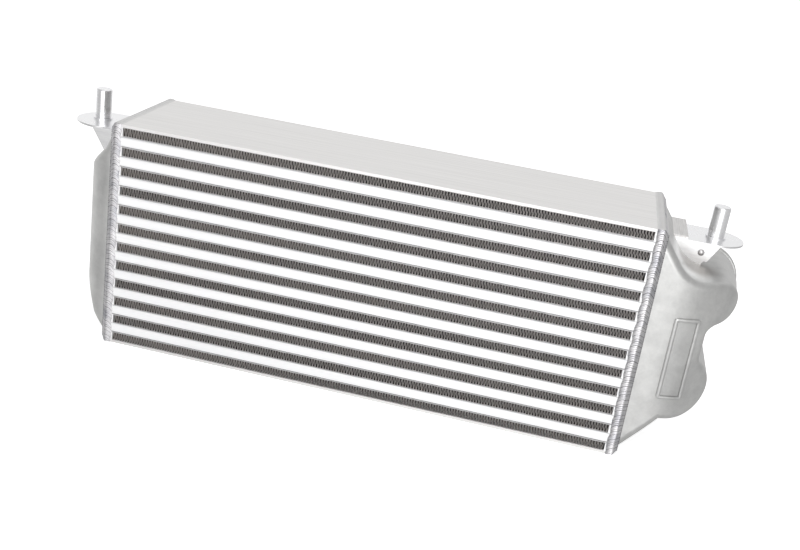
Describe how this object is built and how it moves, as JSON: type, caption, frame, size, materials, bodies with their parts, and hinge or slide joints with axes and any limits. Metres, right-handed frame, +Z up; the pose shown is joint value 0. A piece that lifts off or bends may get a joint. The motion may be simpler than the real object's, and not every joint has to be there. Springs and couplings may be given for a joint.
{
  "type": "intercooler",
  "caption": "Bar-and-plate intercooler: brazed finned core with a cast, lobed end tank welded to each end, rear hose necks and upright locating pins on bent brackets.",
  "frame": {"origin": "Middle of the core's bottom face, on the plane that the part stands on.", "axes": "X runs along the core to the right, Y from the front (fin face) to the back where the hose necks open, Z up."},
  "size_m": [0.7702, 0.1726, 0.262],
  "materials": {
    "skin": "rolled plate, fine brushed streaks",
    "bar": "bright rolled bar, satin",
    "separator": "thin brazing sheet, dull",
    "fin": "thin folded strip, dull brownish grey",
    "casting": "as-cast, fine grain, matt",
    "weld": "rippled weld bead, satin with faint heat tint",
    "polished_sheet": "polished sheet",
    "brushed_sheet": "brushed sheet",
    "turned": "turned and polished"
  },
  "bodies": {
    "root": {"bottom_plate": "skin", "top_plate": "skin", "separator_plates": "separator", "front_bar_01": "bar", "front_bar_02": "bar", "front_bar_03": "bar", "front_bar_04": "bar", "front_bar_05": "bar", "front_bar_06": "bar", "front_bar_07": "bar", "front_bar_08": "bar", "front_bar_09": "bar", "front_bar_10": "bar", "front_bar_11": "bar", "rear_bar_01": "bar", "rear_bar_02": "bar", "rear_bar_03": "bar", "rear_bar_04": "bar", "rear_bar_05": "bar", "rear_bar_06": "bar", "rear_bar_07": "bar", "rear_bar_08": "bar", "rear_bar_09": "bar", "rear_bar_10": "bar", "rear_bar_11": "bar", "left_closing_bars": "bar", "right_closing_bars": "bar", "ambient_fin_01": "fin", "ambient_fin_02": "fin", "ambient_fin_03": "fin", "ambient_fin_04": "fin", "ambient_fin_05": "fin", "ambient_fin_06": "fin", "ambient_fin_07": "fin", "ambient_fin_08": "fin", "ambient_fin_09": "fin", "ambient_fin_10": "fin", "ambient_fin_11": "fin", "ambient_fin_12": "fin", "charge_fins": "fin", "right_tank": "casting", "left_tank": "casting", "left_bracket": "polished_sheet", "left_tab": "brushed_sheet", "left_pin": "turned", "left_weld_bead": "weld", "right_bracket": "polished_sheet", "right_tab": "brushed_sheet", "right_pin": "turned", "right_weld_bead": "weld", "right_web_rivet": "turned"}
  },
  "joints": []
}
